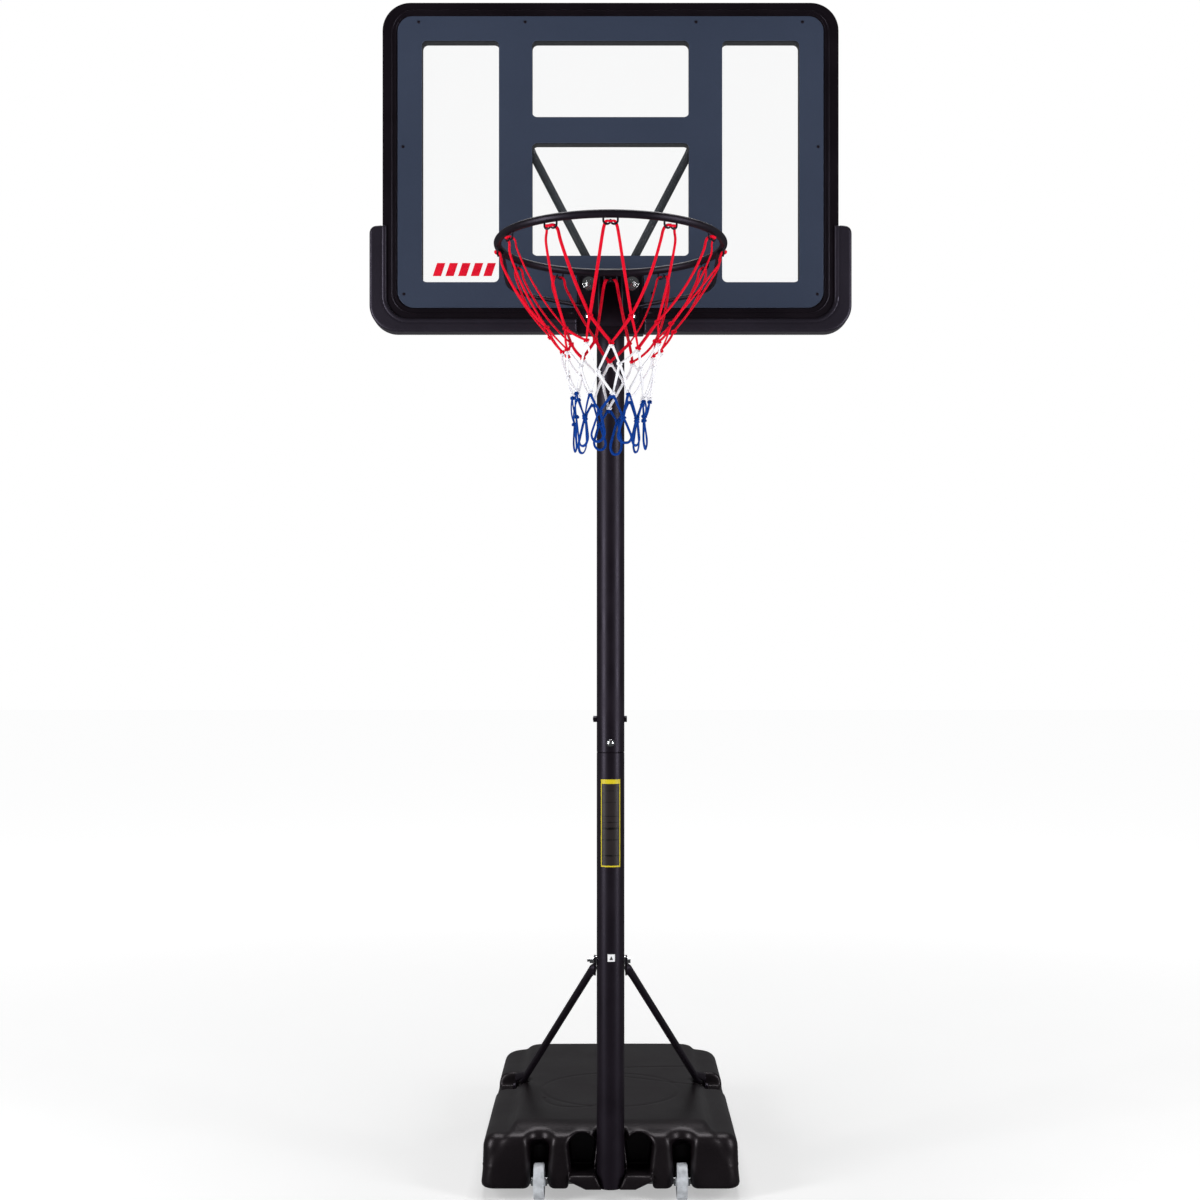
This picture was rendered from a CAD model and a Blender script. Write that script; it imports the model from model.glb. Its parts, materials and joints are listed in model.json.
"""Looks of the portable basketball hoop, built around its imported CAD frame.

Metres, +Z up, and the board faces -Y.
"""

import functools
import itertools
import json
import math
import random

import bpy
import numpy as np
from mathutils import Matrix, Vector


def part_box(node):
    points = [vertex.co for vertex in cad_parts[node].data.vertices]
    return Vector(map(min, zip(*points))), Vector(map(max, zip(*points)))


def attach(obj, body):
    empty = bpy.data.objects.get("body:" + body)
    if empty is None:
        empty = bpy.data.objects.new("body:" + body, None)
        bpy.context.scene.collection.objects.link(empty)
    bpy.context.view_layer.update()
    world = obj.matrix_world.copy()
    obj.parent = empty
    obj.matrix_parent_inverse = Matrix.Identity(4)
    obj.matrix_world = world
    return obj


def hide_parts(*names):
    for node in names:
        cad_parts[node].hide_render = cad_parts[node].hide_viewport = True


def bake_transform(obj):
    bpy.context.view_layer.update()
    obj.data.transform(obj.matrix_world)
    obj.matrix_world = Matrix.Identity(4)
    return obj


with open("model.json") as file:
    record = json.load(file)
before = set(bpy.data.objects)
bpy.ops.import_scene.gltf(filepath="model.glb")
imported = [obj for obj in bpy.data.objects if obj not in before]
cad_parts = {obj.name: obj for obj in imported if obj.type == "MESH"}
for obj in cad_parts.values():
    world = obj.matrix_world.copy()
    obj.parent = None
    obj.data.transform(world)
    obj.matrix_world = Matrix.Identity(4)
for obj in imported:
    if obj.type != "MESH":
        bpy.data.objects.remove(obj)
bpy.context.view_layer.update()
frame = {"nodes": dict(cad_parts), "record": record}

NODES = frame["nodes"]
CHANCE = random.Random(7)


def middle(node):
    """Centre of a CAD node's box."""
    low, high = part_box(node)
    return (low + high) / 2


def half_span(node, axis):
    """Half the size of a CAD node's box along an axis, 0 to 2."""
    low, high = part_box(node)
    return (high[axis] - low[axis]) / 2


POLE_Y = middle("upper_pole").y
POLE_R = half_span("upper_pole", 0)

# ---- camera ----

EYE_HEIGHT = 1.256
EYE_DISTANCE = 3.75  # in front of the pole's axis
SENSOR = 36.0
LENS_RATIO = 1.331  # focal length over the width of the frame
SHIFT_X, SHIFT_Y = -0.0088, 0.0533


def make_camera():
    """A level camera that looks straight at the board, as in the photograph."""
    camera = bpy.data.objects.new("camera", bpy.data.cameras.new("camera"))
    bpy.context.scene.collection.objects.link(camera)
    camera.data.sensor_width = SENSOR
    camera.data.lens = SENSOR * LENS_RATIO
    camera.data.shift_x = SHIFT_X
    camera.data.shift_y = SHIFT_Y
    camera.location = (0, POLE_Y - EYE_DISTANCE, EYE_HEIGHT)
    camera.rotation_euler = (math.radians(90), 0, 0)
    bpy.context.scene.camera = camera


make_camera()

# ---- shader nodes ----

NOISE_SPAN = (0.3, 0.7)  # where most values of a noise lie


def set_inputs(tree, node, values):
    """Each input, linked where its value is a socket and set where it is a constant."""
    for socket, value in values.items():
        if isinstance(value, bpy.types.NodeSocket):
            tree.links.new(value, node.inputs[socket])
        else:
            node.inputs[socket].default_value = value


def add(tree, kind, values=None, **settings):
    """A shader node with its settings, and its inputs set or linked."""
    made = tree.nodes.new("ShaderNode" + kind)
    for name, value in settings.items():
        setattr(made, name, value)
    set_inputs(tree, made, values or {})
    return made


def blank(name):
    """A new material, its tree and shader, and the place in the object's own metres."""
    material = bpy.data.materials.new(name)
    material.use_nodes = True
    tree = material.node_tree
    return material, tree, tree.nodes["Principled BSDF"], add(tree, "TexCoord").outputs["Object"]


def noise(tree, place, scale, detail=2.0):
    """Soft random values from 0 to 1."""
    return add(tree, "TexNoise", {"Vector": place, "Scale": scale, "Detail": detail}).outputs[0]


def ramp(tree, value, low, high, start=0.0, end=1.0):
    """value, remapped from low..high to start..end and held there."""
    values = {"Value": value, "From Min": low, "From Max": high, "To Min": start, "To Max": end}
    return add(tree, "MapRange", values).outputs[0]


def mix(tree, share, first, second):
    """The colour first where share is 0 and second where it is 1."""
    values = {0: share}
    for socket, colour in ((6, first), (7, second)):
        values[socket] = colour if isinstance(colour, bpy.types.NodeSocket) else (*colour, 1)
    return add(tree, "Mix", values, data_type="RGBA").outputs[2]


def calc(tree, operation, *values):
    """The result of a Math node."""
    return add(tree, "Math", dict(enumerate(values)), operation=operation).outputs[0]


def shade(colour, factor):
    """A darker or lighter tone of a colour."""
    return tuple(min(1.0, c * factor) for c in colour)


# ---- plastics, metals and paints ----

BROAD_DETAIL = 4.0
SPECK_SCALE = 0.35  # of the grain's scale
SPECK_START, SPECK_FULL = 0.62, 0.72
SPECK_STRENGTH = 0.35
SPECK_TONE, RUBBED_TONE = 1.7, 4.0
EDGE_START, EDGE_FULL = 0.99, 0.86  # cosine between the softened and the flat normal
LOWEST_ROUGH = 0.02


def specked(tree, place, tint, colour, grain_scale):
    """tint with small pale specks, coarser than the grain."""
    spots = noise(tree, place, grain_scale * SPECK_SCALE, 3.0)
    share = ramp(tree, spots, SPECK_START, SPECK_FULL, 0.0, SPECK_STRENGTH)
    return mix(tree, share, tint, shade(colour, SPECK_TONE))


def rubbed(tree, tint, colour, soft, wear):
    """tint, paler where the softened normal turns away from the flat one."""
    flat = add(tree, "NewGeometry").outputs["Normal"]
    bent = add(tree, "VectorMath", {0: soft, 1: flat}, operation="DOT_PRODUCT").outputs["Value"]
    share = ramp(tree, bent, EDGE_START, EDGE_FULL, 0.0, wear)
    return mix(tree, share, tint, shade(colour, RUBBED_TONE))


def finish(name, colour, rough, rough_swing=0.06, metallic=0.0, gloss=0.5, fixed=None, mottle=0.2,
           mottle_scale=11.0, grain_scale=900.0, grain_depth=0.00012, edge=0.0, wear=0.0):
    """A surface with broad mottling and fine grain, and if asked, soft edges that wear has made paler."""
    material, tree, shader, place = blank(name)
    broad = noise(tree, place, mottle_scale, BROAD_DETAIL)
    tint = mix(tree, ramp(tree, broad, *NOISE_SPAN), shade(colour, 1 - mottle), shade(colour, 1 + mottle))
    tint = specked(tree, place, tint, colour, grain_scale)
    bump = {"Strength": 1.0, "Distance": grain_depth, "Height": noise(tree, place, grain_scale)}
    if edge:
        bump["Normal"] = add(tree, "Bevel", {"Radius": edge}, samples=4).outputs[0]
    if wear:
        tint = rubbed(tree, tint, colour, bump["Normal"], wear)
    smoothest, roughest = max(LOWEST_ROUGH, rough - rough_swing), rough + rough_swing
    set_inputs(tree, shader, {
        "Base Color": tint,
        "Normal": add(tree, "Bump", bump).outputs[0],
        "Roughness": ramp(tree, broad, *NOISE_SPAN, smoothest, roughest),
        "Metallic": metallic,
        "Specular IOR Level": gloss,
        **(fixed or {}),
    })
    return material


def clear_sheet():
    """Clear sheet with a faint cool tint and fine wipe marks in its gloss."""
    material, tree, shader, place = blank("clear_sheet")
    wiped = add(tree, "Mapping", {"Vector": place, "Scale": (1, 1, 0.15)}).outputs[0]
    haze = noise(tree, wiped, 26.0, 5.0)
    set_inputs(tree, shader, {
        "Base Color": mix(tree, haze, (0.16, 0.19, 0.20), (0.24, 0.27, 0.28)),
        "Roughness": ramp(tree, haze, *NOISE_SPAN, 0.03, 0.09),
        "Alpha": 0.04,
    })
    return material


# ---- label and sticker ----

LABEL_LOW, LABEL_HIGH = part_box("pole_label")
LABEL_THICK = 0.0004
LABEL_HALF_W = half_span("pole_label", 0)
LABEL_TURN = math.asin(LABEL_HALF_W / (POLE_R + LABEL_THICK))  # round the pole, from its middle to its side
SIDE_BORDER = (0.078, 0.070)  # turn from the side edge to where the yellow begins and is full
LOWER_BORDER = 0.0035
TOP_BAND = 0.010
PRINT_BLUR = 0.0004
LABEL_INK = (0.001, 0.001, 0.001)
LABEL_PANEL = (0.019, 0.014, 0.015)
LABEL_RULES = [  # height as a share of the label's, and half the thickness in millimetres
    (0.87, 0.6),
    (0.74, 0.6),
    (0.58, 0.8),
    (0.51, 1.0),
    (0.44, 2.6),
    (0.31, 1.2),
    (0.13, 1.6),
]


def label_border(tree, parts):
    """1 on the yellow edge of the label and on the band along its top."""
    depth = calc(tree, "SUBTRACT", POLE_Y, parts["Y"])
    turn = calc(tree, "ABSOLUTE", calc(tree, "ARCTAN2", parts["X"], depth))
    side = ramp(tree, turn, LABEL_TURN - SIDE_BORDER[0], LABEL_TURN - SIDE_BORDER[1])
    band_foot = LABEL_HIGH.z - TOP_BAND
    head = ramp(tree, parts["Z"], band_foot - PRINT_BLUR, band_foot)
    border_top = LABEL_LOW.z + LOWER_BORDER
    foot = ramp(tree, parts["Z"], border_top, border_top - PRINT_BLUR)
    return calc(tree, "MAXIMUM", side, calc(tree, "MAXIMUM", head, foot))


def label_rules(tree, place, height):
    """1 on the plain rules of the label, with gaps where they have worn."""
    rules = 0.0
    for share, half in LABEL_RULES:
        at = LABEL_LOW.z + (LABEL_HIGH.z - LABEL_LOW.z) * share
        rules = calc(tree, "MAXIMUM", rules, calc(tree, "COMPARE", height, at, half * 0.001))
    ragged = ramp(tree, noise(tree, place, 150.0), 0.40, 0.47, 0.25, 1.0)
    return calc(tree, "MULTIPLY", rules, ragged)


def label_print():
    """Yellow border round a dark panel with plain rules, wrapped on the pole."""
    material, tree, shader, place = blank("label_print")
    parts = add(tree, "SeparateXYZ", {0: place}).outputs
    panel = mix(tree, label_rules(tree, place, parts["Z"]), LABEL_PANEL, LABEL_INK)
    worn = noise(tree, place, 240.0, 4.0)
    yellow = mix(tree, worn, (0.50, 0.40, 0.006), (0.62, 0.50, 0.012))
    set_inputs(tree, shader, {
        "Base Color": mix(tree, label_border(tree, parts), panel, yellow),
        "Roughness": ramp(tree, worn, *NOISE_SPAN, 0.34, 0.48),
        "Specular IOR Level": 0.25,
    })
    return material


def sticker_print():
    """Small white sticker with a plain dark triangle."""
    centre = middle("pole_sticker")
    foot, height, slant = centre.z - 0.005, 0.0095, 2.2
    material, tree, shader, place = blank("sticker_print")
    parts = add(tree, "SeparateXYZ", {0: place}).outputs
    across = calc(tree, "ABSOLUTE", calc(tree, "SUBTRACT", parts["X"], centre.x))
    up = calc(tree, "SUBTRACT", parts["Z"], foot)
    sides = calc(tree, "ADD", calc(tree, "MULTIPLY", across, slant), up)
    below_top = calc(tree, "LESS_THAN", sides, height)
    inked = calc(tree, "MULTIPLY", below_top, calc(tree, "GREATER_THAN", up, 0.0))
    paper = mix(tree, noise(tree, place, 300.0, 3.0), (0.70, 0.71, 0.73), (0.84, 0.84, 0.85))
    set_inputs(tree, shader, {
        "Base Color": mix(tree, inked, paper, (0.03, 0.03, 0.03)),
        "Roughness": 0.4,
    })
    return material


# ---- braided cord ----

BRAID_PITCH = 1300.0  # radians of weave for a metre of cord
BRAID_YARNS = 4


def braid_of(tree):
    """Two crossing sets of yarns from the route map: 0 in the gaps and 1 on the crests."""
    route = add(tree, "UVMap", uv_map="route").outputs[0]
    parts = add(tree, "SeparateXYZ", {0: route}).outputs
    along = calc(tree, "MULTIPLY", parts["X"], BRAID_PITCH)
    around = calc(tree, "MULTIPLY", parts["Y"], BRAID_YARNS * math.tau)
    one = calc(tree, "SINE", calc(tree, "ADD", along, around))
    two = calc(tree, "SINE", calc(tree, "SUBTRACT", along, around))
    return ramp(tree, calc(tree, "MAXIMUM", one, two), -0.6, 1.0)


def cord_finish(name, colour):
    """Braided cord with a little fuzz and dirt."""
    material, tree, shader, place = blank(name)
    braid = braid_of(tree)
    fuzz = noise(tree, place, 1200.0)
    dirt = ramp(tree, noise(tree, place, 30.0, 3.0), 0.35, 0.7)
    tint = mix(tree, braid, shade(colour, 0.85), colour)
    height = calc(tree, "ADD", braid, calc(tree, "MULTIPLY", fuzz, 0.5))
    bump = {"Strength": 0.5, "Distance": 0.0002, "Height": height}
    set_inputs(tree, shader, {
        "Base Color": mix(tree, calc(tree, "MULTIPLY", dirt, 0.2), tint, shade(colour, 0.75)),
        "Normal": add(tree, "Bump", bump).outputs[0],
        "Roughness": ramp(tree, fuzz, *NOISE_SPAN, 0.62, 0.85),
        "Specular IOR Level": 0.1,
    })
    return material


# ---- the finishes, by the record's material slots ----

BLACK = (0.0062, 0.0042, 0.0066)
RED = (0.66, 0.0006, 0.018)
WHITE = (0.84, 0.84, 0.88)
BLUE = (0.0008, 0.040, 0.26)
SOFT_LIGHT = {"Subsurface Weight": 0.15, "Subsurface Radius": (0.01, 0.01, 0.01)}
COOL_GLOSS = {"Specular Tint": (0.84, 0.76, 1.0, 1)}
WARM_GLOSS = {"Specular Tint": (1.0, 0.92, 0.98, 1)}

FINISHES = {
    "black_steel": finish(
        "black_steel", BLACK, 0.42, gloss=0.28, fixed=COOL_GLOSS, grain_depth=0.00008, edge=0.0008, wear=0.3,
    ),
    "dark_steel": finish(
        "dark_steel", (0.022, 0.023, 0.030), 0.42, gloss=0.3, grain_depth=0.00010, edge=0.001, wear=0.25,
    ),
    "weld": finish(
        "weld", BLACK, 0.42, mottle_scale=90.0, grain_scale=400.0, grain_depth=0.0003,
    ),
    "zinc": finish(
        "zinc", (0.76, 0.78, 0.80), 0.17, rough_swing=0.05, metallic=1.0, mottle=0.12, mottle_scale=70.0,
        grain_scale=1500.0, grain_depth=0.00002, edge=0.0009,
    ),
    "bright_zinc": finish(
        "bright_zinc", (0.80, 0.82, 0.84), 0.13, rough_swing=0.03, metallic=1.0, mottle=0.06,
        grain_depth=0.00001, edge=0.003,
    ),
    "wheel_plastic": finish(
        "wheel_plastic", (0.46, 0.48, 0.51), 0.42, fixed=SOFT_LIGHT, mottle=0.26, mottle_scale=60.0,
        edge=0.001,
    ),
    "black_plastic": finish("black_plastic", (0.008, 0.007, 0.008), 0.40, gloss=0.3, edge=0.001),
    "seal_rubber": finish("seal_rubber", (0.02, 0.02, 0.02), 0.7),
    "tank_plastic": finish(
        "tank_plastic", (0.0054, 0.0038, 0.0048), 0.36, gloss=0.34, fixed=WARM_GLOSS, mottle=0.22,
        mottle_scale=6.0, grain_scale=650.0, grain_depth=0.00014,
    ),
    "water_fill": finish("water_fill", (0.45, 0.62, 0.68), 0.1),
    "frame_plastic": finish(
        "frame_plastic", (0.0046, 0.0032, 0.0046), 0.34, rough_swing=0.04, gloss=0.26, fixed=COOL_GLOSS,
        grain_scale=1100.0, grain_depth=0.00005, edge=0.0018, wear=0.18,
    ),
    "face_slate": finish(
        "face_slate", (0.030, 0.040, 0.068), 0.36, rough_swing=0.04, gloss=0.4, mottle=0.07, mottle_scale=2.2,
        grain_scale=1400.0, grain_depth=0.00004, edge=0.0010, wear=0.5,
    ),
    "clear_sheet": clear_sheet(),
    "guard_foam": finish(
        "guard_foam", (0.013, 0.011, 0.016), 0.37, gloss=0.35, fixed=COOL_GLOSS, mottle=0.12,
        mottle_scale=5.0, grain_scale=1000.0, grain_depth=0.00008,
    ),
    "label_print": label_print(),
    "sticker_white": sticker_print(),
    "mark_red": finish("mark_red", (0.66, 0.004, 0.022), 0.3, mottle=0.12, mottle_scale=80.0),
    "net_cord": cord_finish("cord_red", RED),
}
CORDS = [FINISHES["net_cord"], cord_finish("cord_white", WHITE), cord_finish("cord_blue", BLUE)]

FINISH_OF = {row["node"]: row["material_slot"] for row in frame["record"]["subparts"]}
FINISH_OF["rim_bolts_upper"] = "bright_zinc"  # smoother than the other bolts, as in the photograph
for node, shown in NODES.items():
    shown.data.materials.clear()
    shown.data.materials.append(FINISHES[FINISH_OF[node]])

# ---- smooth shells from distance functions ----

SHELL_MARGIN = 2.5  # cells round the box
MAX_PULL = 0.7  # cells, in one move
FIRST_PULLS = 3
RELAXING_ROUNDS = 2


def level_surface(name, distance, low, high, step):
    """The surface where distance(x, y, z) is zero, as an even net of quads pulled onto it."""
    low = np.array(low, float) - SHELL_MARGIN * step
    counts = np.ceil((np.array(high, float) + SHELL_MARGIN * step - low) / step).astype(int) + 1
    x, y, z = (low[i] + step * np.arange(counts[i]) for i in range(3))
    inside = distance(x[:, None, None], y[None, :, None], z[None, None, :]) < 0
    corners = sum(
        inside[i : i + counts[0] - 1, j : j + counts[1] - 1, k : k + counts[2] - 1].astype(np.uint8)
        for i, j, k in itertools.product((0, 1), repeat=3)
    )
    cells = (corners > 0) & (corners < 8)
    number = np.full(cells.shape, -1)
    number[cells] = np.arange(cells.sum())
    points = low + step * (np.argwhere(cells) + 0.5)
    quads = np.concatenate([net_quads(inside, number, axis) for axis in range(3)])
    for _ in range(FIRST_PULLS):
        points = pulled(distance, points, step)
    for _ in range(RELAXING_ROUNDS):
        points = pulled(distance, relaxed(points, quads), step)
    return mesh_object(name, points, quads)


def net_quads(inside, number, axis):
    """One quad for each grid edge along the axis that crosses the surface, facing outwards."""
    u, v = (axis + 1) % 3, (axis + 2) % 3
    before = np.delete(inside, -1, axis)
    at = np.argwhere(before != np.delete(inside, 0, axis))
    columns = []
    for du, dv in ((-1, -1), (0, -1), (0, 0), (-1, 0)):
        cell = at.copy()
        cell[:, u] += du
        cell[:, v] += dv
        columns.append(number[tuple(cell.T)])
    quads = np.stack(columns, 1)
    inward = ~before[tuple(at.T)]
    quads[inward] = quads[inward][:, ::-1]
    return quads


def pulled(distance, points, step):
    """points, each moved along the slope of distance onto its zero level."""
    nudge = 0.02 * step
    here = distance(*points.T)
    ahead = [distance(*(points + nudge * np.eye(3)[i]).T) for i in range(3)]
    slope = (np.stack(ahead, 1) - here[:, None]) / nudge
    move = here[:, None] * slope / np.maximum((slope**2).sum(1), 0.05)[:, None]
    return points - np.clip(move, -MAX_PULL * step, MAX_PULL * step)


def relaxed(points, quads):
    """Each point moved half way to the mean of its neighbours."""
    ends = np.concatenate([quads[:, [i, (i + 1) % 4]] for i in range(4)])
    ends = np.concatenate([ends, ends[:, ::-1]])
    count = np.bincount(ends[:, 0], minlength=len(points))
    mean = [np.bincount(ends[:, 0], points[ends[:, 1], i], len(points)) / count for i in range(3)]
    return (points + np.stack(mean, 1)) / 2


def mesh_object(name, points, faces):
    """A smooth-shaded object from points and faces."""
    mesh = bpy.data.meshes.new(name)
    mesh.from_pydata([tuple(p) for p in points], [], [tuple(int(i) for i in f) for f in faces])
    mesh.shade_smooth()
    made = bpy.data.objects.new(name, mesh)
    bpy.context.scene.collection.objects.link(made)
    return made


# ---- distances: less than zero inside ----


def soft_min(a, b, k):
    """Both spaces together, with their meeting edge filled over the width k."""
    share = np.clip(0.5 + 0.5 * (b - a) / k, 0, 1)
    return b + (a - b) * share - k * share * (1 - share)


def soft_max(a, b, k):
    """What lies in both spaces, with their meeting edge rounded over the width k."""
    return -soft_min(-a, -b, k)


def cut(body, space, k):
    """body without space, its new edge rounded over the width k."""
    return soft_max(body, -space, k)


def all_of(*spaces):
    """What lies in every one of the spaces."""
    return functools.reduce(np.maximum, spaces)


def rounded(a, b, radius):
    """What lies in both spaces, with a round corner where they meet."""
    a, b = a + radius, b + radius
    return np.hypot(np.maximum(a, 0), np.maximum(b, 0)) + np.minimum(np.maximum(a, b), 0) - radius


def plan_box(u, v, half_u, half_v, radius):
    """A rectangle with round corners, centred on the origin."""
    return rounded(np.abs(u) - half_u, np.abs(v) - half_v, radius)


def slab(value, low, high):
    """The layer from low to high."""
    return np.abs(value - (low + high) / 2) - (high - low) / 2


def rise(value, start, run):
    """0 up to start, then up to 1 over the run."""
    return np.clip((value - start) / run, 0, 1)


def bump_at(value, centre, width):
    """1 at the centre, and down to 0 within about two widths of it."""
    return np.exp(-(((value - centre) / width) ** 2))


# ---- tank: y is measured from the pole's axis, and ax is the distance from the middle plane ----

TANK_STEP = 0.0042
TANK_LOW, TANK_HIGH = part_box("base_tank")
WHEEL_X = middle("wheel_right").x
WHEEL_Z = middle("wheel_right").z
AXLE_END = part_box("wheel_axle")[1].x
CAP_Y = middle("filler_cap").y - POLE_Y
PLATEAU = TANK_HIGH.z  # top of the raised middle
SHOULDER = PLATEAU - 0.017
FRONT = -0.017  # front face
REAR = TANK_HIGH.y - POLE_Y
HALF_W = TANK_HIGH.x
SHELF = 0.062  # top of the gap that the tongue fills
FRONT_CORNER, REAR_CORNER = 0.030, 0.062
DRAFT = 0.004  # how far the sides lean in on their way up to the shoulder
MIDDLE_HALF_W, MIDDLE_FOOT, MIDDLE_REAR = 0.2365, 0.156, 0.828
BEVEL_FOOT, BEVEL_RUN, BEVEL_RISE, BEVEL_LENGTH = 0.143, 0.062, 0.027, 0.0676
PARTING_Z, PARTING_WIDTH, PARTING_HEIGHT = 0.080, 0.0022, 0.0008
UNDERSIDE_RISE, UNDERSIDE_START, UNDERSIDE_RUN = 0.027, 0.12, 0.107
TONGUE_HALF_W = 0.098
POLE_GAP, SOCKET_GAP, SOCKET_FLOOR = 0.004, 0.0005, 0.0305
AXLE_GROOVE_R, AXLE_END_GAP = 0.0056, 0.002
CAP_RECESS_R, CAP_RECESS_DEPTH = 0.0330, 0.003
CAP_NECK_R, CAP_NECK_DEPTH = 0.0222, 0.024
STRUT_HOLLOW = np.array([[0.198, 0.3637, 0.2272], [0.2336, 0.440, 0.1569]])  # the ends of its axis
STRUT_HOLLOW_R = 0.0150


def tank_mouldings(x, y):
    """Faint lines moulded in the top (a ring, two slanting creases and an arc) on a slight warp."""
    ring_y, ring_squash, ring_r, ring_line = 0.33, 1.1, 0.175, 0.005
    arc_x, arc_y, arc_r, arc_rear = -0.09, 0.24, 0.075, 0.25
    line, line_height, warp_height = 0.004, 0.0011, 0.0009
    lines = bump_at(np.hypot(x, (y - ring_y) * ring_squash), ring_r, ring_line)
    for slant, crease_y, crease_x in ((-0.08, 0.545, 0.12), (0.45, 0.47, 0.13)):
        lines = lines + bump_at(y + slant * x, crease_y, line) * (np.abs(x - crease_x) < 0.1)
    lines = lines + bump_at(np.hypot(x - arc_x, y - arc_y), arc_r, line) * (y < arc_rear)
    return line_height * lines + np.sin(9 * x + 1.0) * np.sin(7 * y) * warp_height


def tank_sides(ax, y, z):
    """The upright walls, which lean in a little on their way up."""
    centre, half = (FRONT + REAR) / 2, (REAR - FRONT) / 2
    corner = np.where(y < centre, FRONT_CORNER, REAR_CORNER)
    lean = DRAFT * rise(z, 0, SHOULDER)
    return plan_box(ax, y - centre, HALF_W - lean, half - 0.5 * lean, corner)


def raised_middle(x, ax, y, z, sides):
    """The broad block on top, with slanting flanks and a bevel at its front."""
    flank_run, flank_scale = 0.62, 0.85
    flank = (ax - MIDDLE_HALF_W + (z - MIDDLE_FOOT) * flank_run) * flank_scale
    bevel = ((z - BEVEL_FOOT) * BEVEL_RUN - (y - FRONT) * BEVEL_RISE) / BEVEL_LENGTH
    top = z - PLATEAU + tank_mouldings(x, y)
    block = soft_max(soft_max(flank, y - MIDDLE_REAR, 0.030), top, 0.012)
    return soft_max(soft_max(block, bevel, 0.010), sides, 0.016)


def tank_body(x, ax, y, z):
    """Shoulders, a parting line round them, the raised middle, and an underside that rises at the front."""
    sides = tank_sides(ax, y, z)
    parting = PARTING_HEIGHT * bump_at(z, PARTING_Z, PARTING_WIDTH)
    shoulders = soft_max(sides - parting, z - SHOULDER, 0.034)
    body = soft_min(shoulders, raised_middle(x, ax, y, z, sides), 0.012)
    lift = UNDERSIDE_RISE * rise(-y, -UNDERSIDE_START, UNDERSIDE_RUN)
    return soft_max(body, (lift - z) * 0.97, 0.014)


def tongue_gap(ax, y, z):
    """The space low in the front that the tongue fills."""
    return all_of(ax - TONGUE_HALF_W, y - 0.056, z - SHELF)


def wheel_slot(ax, y, z):
    """Slot that narrows downwards under a leaning roof, with a round well behind the wheel."""
    half_foot, flare, flare_foot, flare_run = 0.0185, 0.0050, 0.055, 0.06
    well_r, reach_foot, reach_loss, roof_foot, roof_run = 0.050, 0.020, 0.034, 0.116, 0.022
    half = half_foot + flare * rise(z, flare_foot, flare_run)
    width = np.abs(ax - WHEEL_X)
    well = all_of(width - half_foot, np.hypot(y, z - WHEEL_Z) - well_r)
    reach = reach_foot - reach_loss * rise(z, roof_foot, roof_run)
    throat = np.hypot(width, np.maximum(y - reach, 0)) - half
    return np.minimum(well, throat)


def arch_pocket(ax, y, z):
    """Arched pocket beside the pole, a little narrower towards its foot."""
    arch_x, arch_z, half_w, half_h, corner = 0.0665, 0.092, 0.0330, 0.0580, 0.028
    rear, taper, taper_top, taper_height = 0.058, 0.12, 0.125, 0.065
    narrowing = taper * np.clip(taper_top - z, 0, taper_height)
    arch = plan_box(ax - arch_x, z - arch_z, half_w, half_h, corner) + narrowing
    return soft_max(arch, y - rear, 0.010)


def pole_channel(x, y, z):
    """Upright channel that the pole stands in, open to the front."""
    return all_of(np.hypot(x, np.maximum(y, 0)) - POLE_R - POLE_GAP, SHELF - z)


def side_pocket(ax, y, z):
    """Pocket in the shoulder for the strut's foot bolt."""
    inner_x, pocket_y, half_length, floor_z = 0.246, 0.480, 0.080, 0.118
    pocket = soft_max(inner_x - ax, np.abs(y - pocket_y) - half_length, 0.010)
    return soft_max(pocket, floor_z - z, 0.010)


def strut_hollow(ax, y, z):
    """Hollow that the strut's lower end lies in."""
    a, b = STRUT_HOLLOW
    v = b - a
    share = ((ax - a[0]) * v[0] + (y - a[1]) * v[1] + (z - a[2]) * v[2]) / (v @ v)
    share = np.clip(share, 0, 1)
    gap = (ax - a[0] - share * v[0]) ** 2 + (y - a[1] - share * v[1]) ** 2
    return np.sqrt(gap + (z - a[2] - share * v[2]) ** 2) - STRUT_HOLLOW_R


def tongue(ax, y, z):
    """Lip under the foot of the pole, with bevelled ends and a notch that the pole stands in."""
    top, front, rear = 0.064, -0.036, 0.066
    foot, bevel_x, bevel = 0.030, 0.058, 0.48
    notch_half, notch_slope, notch_scale = 0.020, 0.45, 0.9
    bottom = foot + bevel * np.maximum(ax - bevel_x, 0)
    plate = soft_max(bottom - z, z - top, 0.006)
    plate = soft_max(plate, all_of(front - y, y - rear), 0.012)
    plate = soft_max(plate, ax - TONGUE_HALF_W, 0.004)
    notch = all_of((ax - notch_half - notch_slope * (z - foot)) * notch_scale, y)
    return cut(plate, notch, 0.003)


def pole_socket(x, y, z):
    """Close hole round the foot of the pole."""
    return all_of(np.hypot(x, y) - POLE_R - SOCKET_GAP, SOCKET_FLOOR - z)


def axle_groove(ax, y, z):
    """Groove in the underside that the axle runs in."""
    return all_of(np.abs(y) - AXLE_GROOVE_R, z - WHEEL_Z - AXLE_GROOVE_R, ax - AXLE_END - AXLE_END_GAP)


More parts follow.
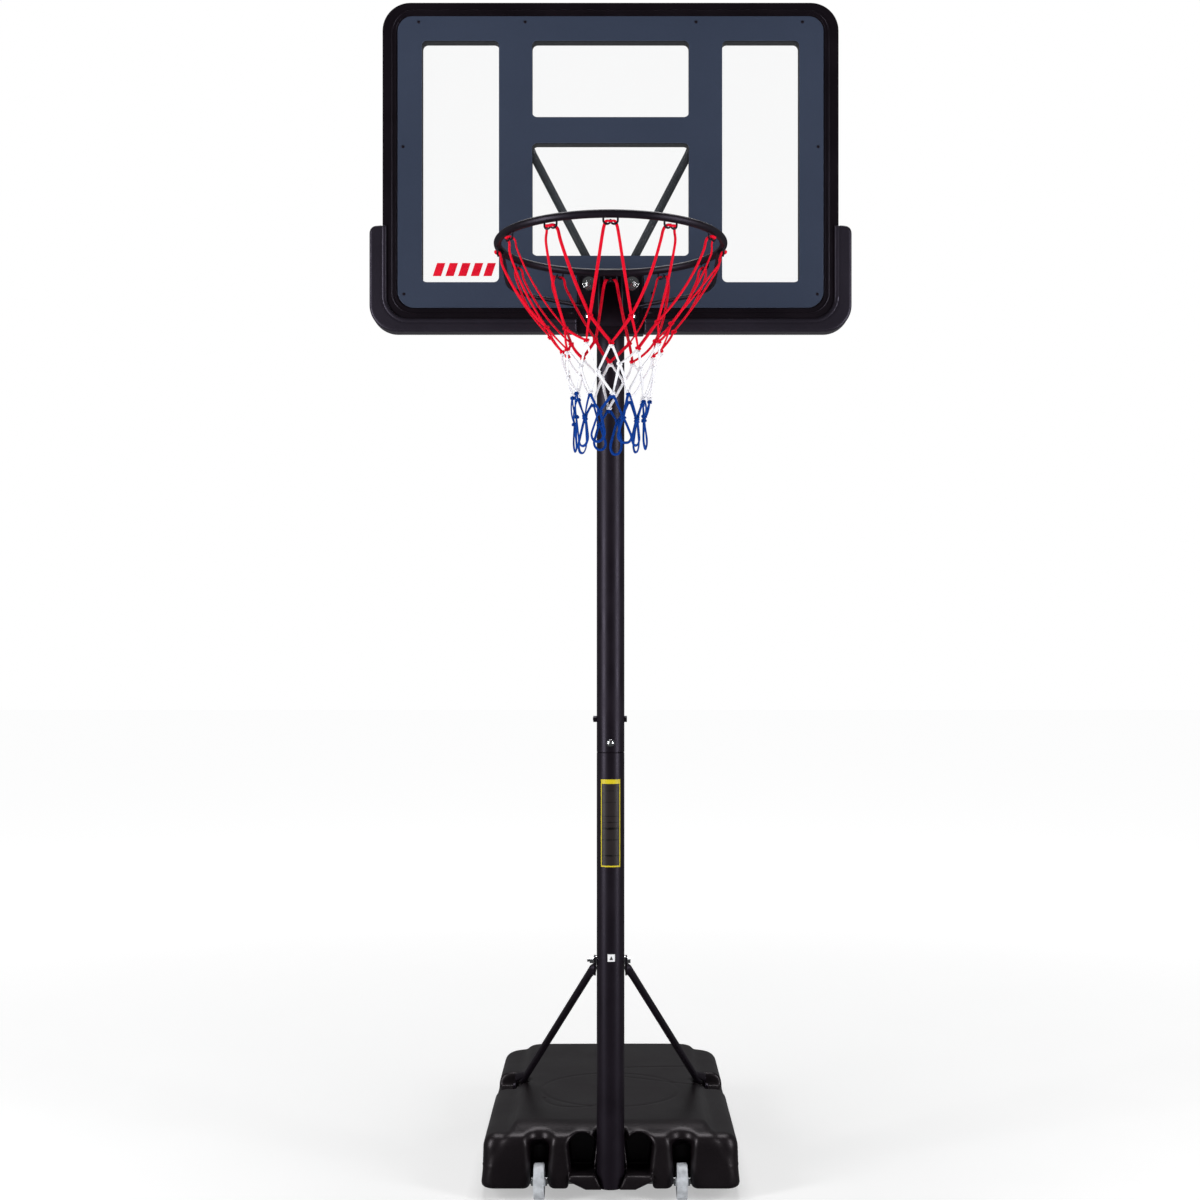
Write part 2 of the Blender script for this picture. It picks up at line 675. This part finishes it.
def tank_distance(x, y, z):
    """Distance to the tank's outer skin, in the frame's own coordinates."""
    y = y - POLE_Y
    ax = np.abs(x)
    cap = np.hypot(x, y - CAP_Y)
    body = tank_body(x, ax, y, z)
    body = cut(body, tongue_gap(ax, y, z), 0.010)
    body = cut(body, wheel_slot(ax, y, z), 0.020)
    body = cut(body, arch_pocket(ax, y, z), 0.014)
    body = cut(body, pole_channel(x, y, z), 0.010)
    body = cut(body, side_pocket(ax, y, z), 0.008)
    body = cut(body, strut_hollow(ax, y, z), 0.010)
    body = cut(body, all_of(cap - CAP_RECESS_R, PLATEAU - CAP_RECESS_DEPTH - z), 0.003)
    body = cut(body, all_of(cap - CAP_NECK_R, PLATEAU - CAP_NECK_DEPTH - z), 0.002)
    body = soft_min(body, tongue(ax, y, z), 0.004)
    return all_of(body, -pole_socket(x, y, z), -axle_groove(ax, y, z))


def make_tank():
    """The moulded shell, in place of the CAD tank."""
    shell = level_surface("tank_shell", tank_distance, TANK_LOW, TANK_HIGH, TANK_STEP)
    shell.data.materials.append(FINISHES["tank_plastic"])
    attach(shell, "base")
    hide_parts("base_tank")


# ---- edge guard ----

GUARD_STEP = 0.0022
FRAME_LOW, FRAME_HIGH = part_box("board_frame")
GUARD_LOW, GUARD_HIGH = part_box("board_pad")
FRAME_FOOT = 2.040
NOTCH_X = 0.0769  # half the gap that the guard leaves for the rim and its bracket
GUARD_EDGE = 0.0065
GUARD_CORNER, OPENING_CORNER, SEAT_CORNER = 0.062, 0.050, 0.056
SEAT_GAP = 0.0004
LIP, LIP_RISE = 0.010, 0.008  # how far the channel's lips reach in over the frame's sides and foot
LIP_LINE_AT, LIP_LINE_WIDTH, LIP_LINE_HEIGHT = 0.0105, 0.0016, 0.0014
TOP_SLOPE, TOP_SLOPE_X = 0.08, 0.515


def guard_outline(x, z, half, foot, radius):
    """A tall outline with round lower corners and its lower edge at foot."""
    height = 0.30
    return plan_box(x, z - foot - height, half, height, radius)


def guard_distance(x, y, z):
    """A channel round the board's lower edge, with a raised lip line and a seat for the frame."""
    outer = guard_outline(x, z, GUARD_HIGH.x, GUARD_LOW.z, GUARD_CORNER)
    top = z - GUARD_HIGH.z + TOP_SLOPE * np.maximum(np.abs(x) - TOP_SLOPE_X, 0)
    outer = soft_max(outer, top, 0.018)
    opening = guard_outline(x, z, FRAME_HIGH.x - LIP, FRAME_FOOT + LIP_RISE, OPENING_CORNER)
    outline = all_of(outer, -opening, NOTCH_X - np.abs(x))
    solid = rounded(outline, slab(y, GUARD_LOW.y, GUARD_HIGH.y), GUARD_EDGE)
    seat = guard_outline(x, z, FRAME_HIGH.x + SEAT_GAP, FRAME_FOOT - SEAT_GAP, SEAT_CORNER)
    seat = all_of(seat, slab(y, FRAME_LOW.y, FRAME_HIGH.y) - SEAT_GAP)
    lip_line = LIP_LINE_HEIGHT * bump_at(opening, LIP_LINE_AT, LIP_LINE_WIDTH)
    return all_of(solid + lip_line * (y < FRAME_LOW.y + 0.002), -seat)


def make_guard():
    """The soft edge guard, in place of the CAD pad."""
    guard = level_surface("edge_guard", guard_distance, GUARD_LOW, GUARD_HIGH, GUARD_STEP)
    guard.data.materials.append(FINISHES["guard_foam"])
    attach(guard, "mast")
    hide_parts("board_pad")


# ---- tubes ----

ANY_SIDE = (0.31, 0.47, 0.83)  # a direction that no path runs along


def directions(path, closed):
    """Which way the path runs at each of its points."""
    ahead = np.roll(path, -1, 0) if closed else np.vstack([path[1:], path[-1:]])
    behind = np.roll(path, 1, 0) if closed else np.vstack([path[:1], path[:-1]])
    tangents = ahead - behind
    return tangents / np.linalg.norm(tangents, axis=1)[:, None]


class Tubes:
    """Tubes gathered into one mesh, with a map of each tube's length and turn."""

    def __init__(self):
        self.points = []
        self.faces = []
        self.corners = []
        self.slots = []

    def add(self, path, radius, sides=8, slot=0, flat=1.0, closed=False, normal=ANY_SIDE, twist=0.0):
        """A tube along path. radius is one number or one for each point; flat squeezes it, twist turns it."""
        path = np.array(path, float)
        count = len(path)
        radii = np.broadcast_to(radius, (count,))
        tangents = directions(path, closed)
        run = np.concatenate([[0], np.cumsum(np.linalg.norm(np.diff(path, axis=0), axis=1))])
        first = len(self.points)
        side = np.array(normal, float)
        for i in range(count):
            side = side - tangents[i] * (side @ tangents[i])
            side /= np.linalg.norm(side)
            other = np.cross(tangents[i], side)
            self.add_ring(path[i], radii[i], side, other, sides, flat, twist * i / count)
        for i in range(count if closed else count - 1):
            j = (i + 1) % count
            end = run[j] if j else run[i] + 0.001
            self.add_band(first + i * sides, first + j * sides, sides, run[i], end, slot)
        if not closed:
            self.add_cap(first, sides, slot, True)
            self.add_cap(first + (count - 1) * sides, sides, slot, False)

    def add_ring(self, centre, radius, side, other, sides, flat, lean):
        """Points round the centre, flattened and then turned by lean."""
        cos_lean, sin_lean = math.cos(lean), math.sin(lean)
        for k in range(sides):
            turn = math.tau * k / sides
            u, v = math.cos(turn) * flat, math.sin(turn)
            across = (u * cos_lean - v * sin_lean) * side + (u * sin_lean + v * cos_lean) * other
            self.points.append(centre + radius * across)

    def add_band(self, near, far, sides, start, end, slot):
        """Quads between two rings, mapped from start to end along the tube."""
        for k in range(sides):
            n = (k + 1) % sides
            left, right = k / sides, (k + 1) / sides
            self.faces.append([near + k, near + n, far + n, far + k])
            self.corners += [(start, left), (start, right), (end, right), (end, left)]
            self.slots.append(slot)

    def add_cap(self, first, sides, slot, reverse):
        """A flat face on one end of a tube."""
        ring = list(range(first, first + sides))
        self.faces.append(ring[::-1] if reverse else ring)
        self.corners += [(0, 0)] * sides
        self.slots.append(slot)

    def finished(self, name, materials):
        """The gathered tubes as one object."""
        made = mesh_object(name, self.points, self.faces)
        for material in materials:
            made.data.materials.append(material)
        made.data.polygons.foreach_set("material_index", self.slots)
        layer = made.data.uv_layers.new(name="route")
        layer.data.foreach_set("uv", np.array(self.corners, np.float32).ravel())
        return made


def curve_through(points, steps):
    """A smooth run of points through the given ones."""
    p = np.array(points, float)
    p = np.vstack([2 * p[0] - p[1], p, 2 * p[-1] - p[-2]])
    run = []
    for i in range(1, len(p) - 2):
        for t in np.arange(steps) / steps:
            run.append(0.5 * (2 * p[i] + (p[i + 1] - p[i - 1]) * t
                              + (2 * p[i - 1] - 5 * p[i] + 4 * p[i + 1] - p[i + 2]) * t**2
                              + (3 * p[i] - p[i - 1] - 3 * p[i + 1] + p[i + 2]) * t**3))
    run.append(p[-2])
    return np.array(run)


def dense(points, longest):
    """points with more between any two that are further apart than longest."""
    run = [np.array(points[0], float)]
    for p in points[1:]:
        p = np.array(p, float)
        parts = max(1, int(np.linalg.norm(p - run[-1]) / longest))
        start = run[-1]
        run += [start + (p - start) * (i + 1) / parts for i in range(parts)]
    return run


def down(depth):
    """A step straight down."""
    return np.array([0, 0, -depth])


# ---- net: a drop is measured down from the middle of the ring's rod ----

RING = middle("rim_ring")
ROD = half_span("rim_ring", 2)
RING_R = half_span("rim_ring", 0) - ROD
HOOKS = 12
HOOK_STEP = math.tau / HOOKS
NET_SHAPE = [  # drop and radius
    (0.025, 0.228),
    (0.099, 0.184),
    (0.150, 0.150),
    (0.185, 0.126),
    (0.213, 0.108),
    (0.262, 0.092),
    (0.318, 0.078),
    (0.363, 0.075),
    (0.421, 0.080),
]
NET_ROWS = [(0.180, 0), (0.220, 0), (0.268, 1), (0.316, 1), (0.360, 2)]  # drop, and the cord tied there
LOOP_CORD = 2  # the cord of the loops below the last row
NET_FOOT = 0.421
CORD_R = [0.0033, 0.0027, 0.0028]
CORD_FLAT = 0.55
KNOT, SECOND_KNOT, SECOND_DROP = 0.0048, 0.0042, 0.007
TURN_JITTER, DROP_JITTER, RADIUS_SHARE = 0.08, 0.011, (0.94, 1.04)  # of the knots
HOOK_SLACK, STRAND_SLACK = (0.001, 0.010), (0.0, 0.006)
HOOK_TWIST, CORD_TWIST = 1.0, 1.2
LOOP_HALF_W, LOOP_SHORTER = (0.008, 0.015), (-0.003, 0.012)
SWAY_OUT, SWAY_ACROSS = 0.008, 0.5  # across is a share of the loop's half width
HOOK_PATH = [  # out from the ring's middle line, along the rim, and drop, from beside a hook to its middle
    (-0.0095, 0.0165, 0.042),
    (-0.0066, 0.0130, 0.0235),
    (-0.0015, 0.0098, 0.0163),
    (0.0040, 0.0068, 0.0150),
    (0.0052, 0.0, 0.0158),
]
LOOP_PATH = [  # across and down, as shares of a loop's half width and depth
    (-0.30, 0.16),
    (-0.72, 0.48),
    (-1.0, 0.76),
    (-0.62, 0.95),
    (0.0, 1.0),
    (0.62, 0.95),
    (1.0, 0.76),
    (0.72, 0.48),
    (0.30, 0.16),
]


def net_radius(drop):
    """Radius of the net at a drop."""
    return float(np.interp(drop, *zip(*NET_SHAPE)))


def round_rim(radius, angle, drop):
    """Point at that radius and angle about the rim's centre, that far below it."""
    return np.array([RING.x + radius * math.cos(angle), RING.y + radius * math.sin(angle), RING.z - drop])


def outward_at(point):
    """Level direction from the rim's axis to a point."""
    away = point - np.array(RING)
    away[2] = 0
    return away / max(np.linalg.norm(away), 1e-6)


def cord(tubes, path, colour, out, most_twist):
    """A flattish cord along a path, twisted by up to most_twist either way."""
    twist = CHANCE.uniform(-most_twist, most_twist)
    tubes.add(path, CORD_R[colour], 8, colour, CORD_FLAT, normal=out, twist=twist)


def knot(tubes, at, size, slot):
    """A small tangle of cord."""
    turn = CHANCE.uniform(0, math.tau)
    steps = 26
    path = []
    for i in range(steps):
        t = math.tau * i / steps
        wave = 2 + math.cos(3 * t)
        x, y, z = wave * math.cos(2 * t), wave * math.sin(2 * t), 1.4 * math.sin(3 * t)
        across = x * math.cos(turn) - y * math.sin(turn)
        deep = 0.8 * (x * math.sin(turn) + y * math.cos(turn))
        path.append(at + size / 3 * np.array([across, deep, z]))
    tubes.add(path, size * 0.42, 6, slot, closed=True)


def hanging(start, end, slack, outward):
    """Points from start to end that bow a little outwards and down."""
    points = []
    for t in (0, 0.25, 0.5, 0.75, 1):
        bow = 4 * t * (1 - t)
        points.append(start + (end - start) * t + outward * bow * slack + down(0.4 * slack * bow))
    return points


def loop_over_hook(tubes, angle, left, right):
    """A cord that comes up from one knot, passes through both loops of a hook and goes down."""
    out = np.array([math.cos(angle), math.sin(angle), 0])
    along = np.array([-math.sin(angle), math.cos(angle), 0])
    centre = np.array(RING) + RING_R * out
    rising, falling = (
        [centre + out * r + along * side * t + down(drop) for r, t, drop in HOOK_PATH]
        for side in (-1, 1)
    )
    first = hanging(left, rising[0], CHANCE.uniform(*HOOK_SLACK), out)[:-1]
    last = hanging(falling[0], right, CHANCE.uniform(*HOOK_SLACK), out)[1:]
    cord(tubes, curve_through(first + rising + falling[-2::-1] + last, 5), 0, out, HOOK_TWIST)


def strand(tubes, start, end, colour):
    """A slightly slack cord between two knots."""
    out = outward_at((start + end) / 2)
    path = curve_through(hanging(start, end, CHANCE.uniform(*STRAND_SLACK), out), 3)
    cord(tubes, path, colour, out, CORD_TWIST)


def bottom_loop(tubes, top):
    """A slack teardrop of cord that hangs from one knot of the last row."""
    out = outward_at(top)
    half = np.cross(out, (0, 0, 1)) * CHANCE.uniform(*LOOP_HALF_W)
    depth = top[2] - (RING.z - NET_FOOT) - CHANCE.uniform(*LOOP_SHORTER)
    sway = out * CHANCE.uniform(-SWAY_OUT, SWAY_OUT) + half * CHANCE.uniform(-SWAY_ACROSS, SWAY_ACROSS)
    turns = [top + half * s + down(depth * d) + sway * d for s, d in LOOP_PATH]
    cord(tubes, curve_through([top] + turns + [top], 4), LOOP_CORD, out, CORD_TWIST)


def net_knots():
    """Where the cords are tied: a row for each of NET_ROWS, every other one half a step round."""
    rows = []
    for r, (drop, _) in enumerate(NET_ROWS):
        row = []
        for i in range(HOOKS):
            angle = (i + 0.5 * (r % 2 == 0)) * HOOK_STEP + CHANCE.uniform(-TURN_JITTER, TURN_JITTER)
            low = drop + CHANCE.uniform(-DROP_JITTER, DROP_JITTER)
            row.append(round_rim(net_radius(low) * CHANCE.uniform(*RADIUS_SHARE), angle, low))
        rows.append(row)
    return rows


def tie_strands(tubes, rows, colours):
    """The two cords from each knot to the row below it."""
    for r in range(len(rows) - 1):
        for i in range(HOOKS):
            for j in ((i, (i + 1) % HOOKS) if r % 2 == 0 else (i - 1, i)):
                strand(tubes, rows[r][i], rows[r + 1][j], colours[r + 1])


def tie_knots(tubes, rows, colours):
    """The knots, with a second one below where the cord's colour changes."""
    for r, row in enumerate(rows):
        for at in row:
            knot(tubes, at, KNOT, colours[r])
            if colours[r] != colours[r + 1]:
                knot(tubes, at + down(SECOND_DROP), SECOND_KNOT, colours[r + 1])


def make_net():
    """The knotted net, in place of the CAD funnel."""
    tubes = Tubes()
    rows = net_knots()
    colours = [colour for _, colour in NET_ROWS] + [LOOP_CORD]
    for i in range(HOOKS):
        loop_over_hook(tubes, i * HOOK_STEP, rows[0][i - 1], rows[0][i])
    tie_strands(tubes, rows, colours)
    tie_knots(tubes, rows, colours)
    for at in rows[-1]:
        bottom_loop(tubes, at)
    net = tubes.finished("knotted_net", CORDS)
    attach(net, "rim")
    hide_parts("net")


# ---- springs, threads, welds and the bead round the board ----

SPRING_WIRE, SPRING_TURNS, SPRING_STEPS = 0.0013, 6, 22
BOLT_R, BOLT_INSET = 0.005, 0.015  # inset from the node's side to a bolt's axis
BOLT_END = 0.008  # length of the threaded end
THREAD_PITCH, THREAD_STEPS, THREAD_WIRE = 0.00125, 14, 0.00042
ARM_WELD, BRACE_WELD, RING_WELD = 0.0022, 0.0018, 0.0020
BRACE_X, BRACE_HALF_W, BRACE_HALF_H = 0.054, 0.0095, 0.006
RING_WELD_TURN = 0.115
BEAD_GAP, BEAD_CORNER, BEAD_R, BEAD_DEPTH = 0.0125, 0.048, 0.0026, 0.0008


def spring_path(x, height, coil_r, start, end):
    """A coil about the axis at x and height, closed up at both ends."""
    path = []
    for i in range(SPRING_TURNS * SPRING_STEPS + 1):
        t = i / (SPRING_TURNS * SPRING_STEPS)
        share = np.clip((t - 1 / SPRING_TURNS) / (1 - 2 / SPRING_TURNS), 0, 1) + 0.04 * (2 * t - 1)
        y = start + SPRING_WIRE + (end - start - 2 * SPRING_WIRE) * np.clip(share, 0, 1)
        turn = math.tau * SPRING_TURNS * t
        path.append((x + coil_r * math.cos(turn), y, height + coil_r * math.sin(turn)))
    return path


def make_springs():
    """Coils between the washers and the rim's plate; they shorten as the rim tips."""
    low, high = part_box("rim_springs")
    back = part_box("rim_plate")[0].y
    coil_r = (high.z - low.z) / 2 - SPRING_WIRE
    height = (low.z + high.z) / 2
    tubes = Tubes()
    for side in (-1, 1):
        x = side * (high.x - coil_r - SPRING_WIRE)
        tubes.add(spring_path(x, height, coil_r, low.y, back), SPRING_WIRE)
    springs = tubes.finished("rim_coil_springs", [FINISHES["zinc"]])
    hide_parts("rim_springs")
    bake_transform(springs)


def add_thread(tubes, foot, axis, length):
    """A fine helix that reads as the thread on a bolt's end."""
    side = np.cross(axis, (0.3, 0.5, 0.8))
    side /= np.linalg.norm(side)
    other = np.cross(axis, side)
    path = []
    for i in range(int(length / THREAD_PITCH * THREAD_STEPS)):
        a = math.tau * i / THREAD_STEPS
        round_bolt = BOLT_R * (side * math.cos(a) + other * math.sin(a))
        path.append(foot + axis * THREAD_PITCH * i / THREAD_STEPS + round_bolt)
    tubes.add(path, THREAD_WIRE, 5)


def make_bolt_threads():
    """Threads on the front ends of the two upper bolts of the rim."""
    low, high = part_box("rim_bolts_upper")
    axis = np.array((0, -1, 0), float)
    tubes = Tubes()
    for x in (low.x + BOLT_INSET, high.x - BOLT_INSET):
        foot = np.array([x, low.y, middle("rim_bolts_upper").z]) - axis * BOLT_END
        add_thread(tubes, foot, axis, BOLT_END - 0.0004)
    threads = tubes.finished("rim_bolt_threads", [FINISHES["zinc"]])
    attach(threads, "mast")


def weld_bead(tubes, path, size):
    """A rippled fillet along a path."""
    run = curve_through(path, 9)
    ripple = size * (1 + 0.18 * np.sin(np.arange(len(run)) * 2.1))
    ripple[[0, -1]] *= 0.4
    tubes.add(run, ripple, 8)


def make_rim_welds():
    """Welds of the arm and the braces on the plate, and of the ring on the arm."""
    tubes = Tubes()
    arm_low, arm_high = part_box("rim_arm")
    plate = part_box("rim_plate")[0].y
    brace_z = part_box("rim_brace")[0].z + BRACE_HALF_H
    for x in (-arm_high.x, arm_high.x):
        side_path = [(x, plate, z) for z in (arm_low.z + 0.004, arm_low.z + 0.05, arm_high.z)]
        weld_bead(tubes, side_path, ARM_WELD)
    weld_bead(tubes, [(x, plate, arm_high.z) for x in (-arm_high.x, 0, arm_high.x)], ARM_WELD)
    for x in (-BRACE_X, BRACE_X):
        round_brace = [(x + BRACE_HALF_W * math.cos(a), plate, brace_z + BRACE_HALF_H * math.sin(a))
                       for a in np.linspace(0, math.tau, 9)]
        weld_bead(tubes, round_brace, BRACE_WELD)
    turns = np.linspace(-RING_WELD_TURN, RING_WELD_TURN, 7)
    arc = [round_rim(RING_R - 0.001, math.pi / 2 + a, -ROD * 0.9) for a in turns]
    weld_bead(tubes, arc, RING_WELD)
    welds = tubes.finished("rim_welds", [FINISHES["weld"]])
    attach(welds, "rim")


def make_bezel_bead():
    """A thin rounded bead moulded in the frame, all round the face panel but for the guard's gap."""
    low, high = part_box("board_face")
    y = FRAME_LOW.y + BEAD_DEPTH
    foot = low.z - BEAD_GAP
    right = high.x + BEAD_GAP - BEAD_CORNER
    lower = foot + BEAD_CORNER
    upper = high.z + BEAD_GAP - BEAD_CORNER
    gap = NOTCH_X + 0.006
    path = [(gap, y, foot)]
    for x, z, start in ((right, lower, 270), (right, upper, 0), (-right, upper, 90), (-right, lower, 180)):
        for i in range(9):
            a = math.radians(start + 90 * i / 8)
            path.append((x + BEAD_CORNER * math.cos(a), y, z + BEAD_CORNER * math.sin(a)))
    path.append((-gap, y, foot))
    tubes = Tubes()
    tubes.add(dense(path, 0.02), BEAD_R)
    bead = tubes.finished("bezel_bead", [FINISHES["frame_plastic"]])
    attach(bead, "mast")


make_tank()
make_guard()
make_net()
make_springs()
make_bolt_threads()
make_rim_welds()
make_bezel_bead()

# ---- stage ----

FLOOR_HALF = 40.0
FLOOR_DROP = 0.0005  # keeps the floor clear of the tank's underside
LAMP_Y = POLE_Y - 1.9
LAMPS = [  # name, place, target, width, height and watts
    ("left", (-3.0, LAMP_Y, 1.7), (0, POLE_Y, 1.5), 0.8, 3.0, 105),
    ("right", (3.0, LAMP_Y, 1.7), (0, POLE_Y, 1.5), 0.8, 3.0, 90),
    ("above", (0, 0.9, 4.4), (0, 0.2, 0), 2.4, 2.0, 90),
]


def make_floor():
    """Pale floor that glows a little more with distance, so that it stays even to the horizon."""
    corners = [(x * FLOOR_HALF, y * FLOOR_HALF, 0) for x, y in ((-1, -1), (1, -1), (1, 1), (-1, 1))]
    floor = mesh_object("floor", corners, [(0, 1, 2, 3)])
    material, tree, shader, place = blank("floor_paper")
    far = add(tree, "VectorMath", {0: place}, operation="LENGTH").outputs["Value"]
    set_inputs(tree, shader, {
        "Base Color": mix(tree, noise(tree, place, 3.0), (0.55, 0.55, 0.55), (0.58, 0.58, 0.58)),
        "Emission Color": (1, 1, 1, 1),
        "Emission Strength": ramp(tree, far, 0.6, 5.0, 0.42, 0.93),
        "Roughness": 0.9,
        "Specular IOR Level": 0.1,
    })
    floor.data.materials.append(material)
    floor.location.z = -FLOOR_DROP
    floor.visible_glossy = False


def make_world():
    """White to look at, and a dim room, a little brighter behind the object, as light."""
    world = bpy.data.worlds.new("studio")
    bpy.context.scene.world = world
    world.use_nodes = True
    tree = world.node_tree
    tree.nodes.clear()
    direction = add(tree, "TexCoord").outputs["Generated"]
    parts = add(tree, "SeparateXYZ", {0: direction}).outputs
    wall = ramp(tree, parts["Y"], 0.0, 0.9, 0.06, 0.16)
    light = add(tree, "Background", {"Color": (0.97, 0.98, 1, 1), "Strength": wall})
    seen = add(tree, "Background", {"Color": (1, 1, 1, 1), "Strength": 1.0})
    ray = add(tree, "LightPath").outputs["Is Camera Ray"]
    both = add(tree, "MixShader", {0: ray, 1: light.outputs[0], 2: seen.outputs[0]})
    add(tree, "OutputWorld", {0: both.outputs[0]})


def softbox(name, place, target, width, height, watts):
    """A rectangular lamp at a place, aimed at a target."""
    light = bpy.data.lights.new(name, "AREA")
    light.shape = "RECTANGLE"
    light.size = width
    light.size_y = height
    light.energy = watts
    made = bpy.data.objects.new(name, light)
    made.location = place
    made.rotation_euler = (Vector(target) - Vector(place)).to_track_quat("-Z", "Y").to_euler()
    bpy.context.scene.collection.objects.link(made)


make_floor()
make_world()
for lamp in LAMPS:
    softbox(*lamp)
bpy.context.scene.view_settings.view_transform = "Standard"
